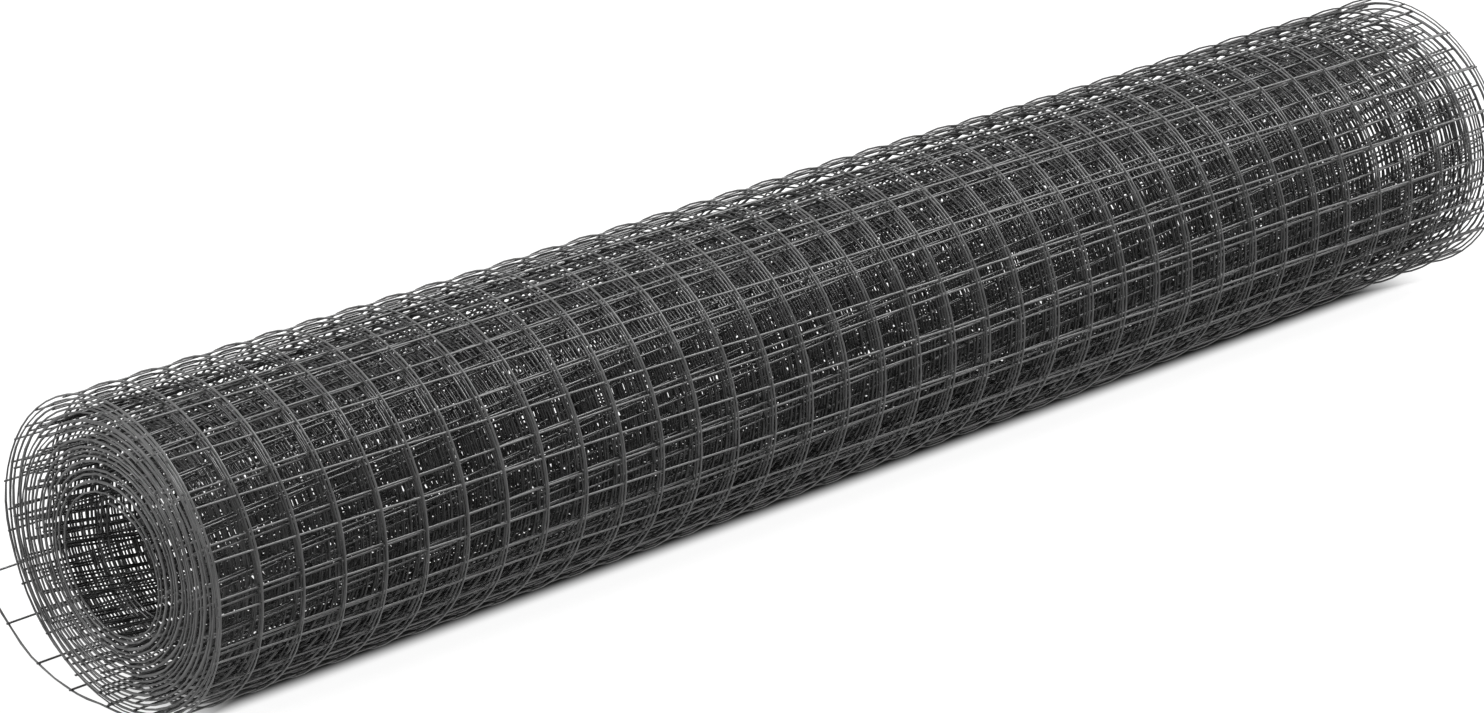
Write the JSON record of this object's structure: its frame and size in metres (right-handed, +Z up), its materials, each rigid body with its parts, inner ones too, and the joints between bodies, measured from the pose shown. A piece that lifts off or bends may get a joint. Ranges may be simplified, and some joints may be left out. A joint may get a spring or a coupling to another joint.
{
  "type": "roll of wire fencing",
  "caption": "Roll of welded square wire mesh in dark grey coated wire, wound round an open bore and lying on its side, with its turns showing at the ends and its outer end loose.",
  "frame": {"origin": "centre of the roll's bounding box, at the floor that the roll lies on", "axes": "+X along the roll's axis, +Y to the back, where the sheet's outer end stands away from the roll, +Z up"},
  "size_m": [0.9, 0.1819, 0.156],
  "materials": {
    "coated_wire": "dark grey plastic coating on galvanised steel wire, half gloss"
  },
  "bodies": {
    "root": {"mesh_roll": "coated_wire"}
  },
  "joints": []
}
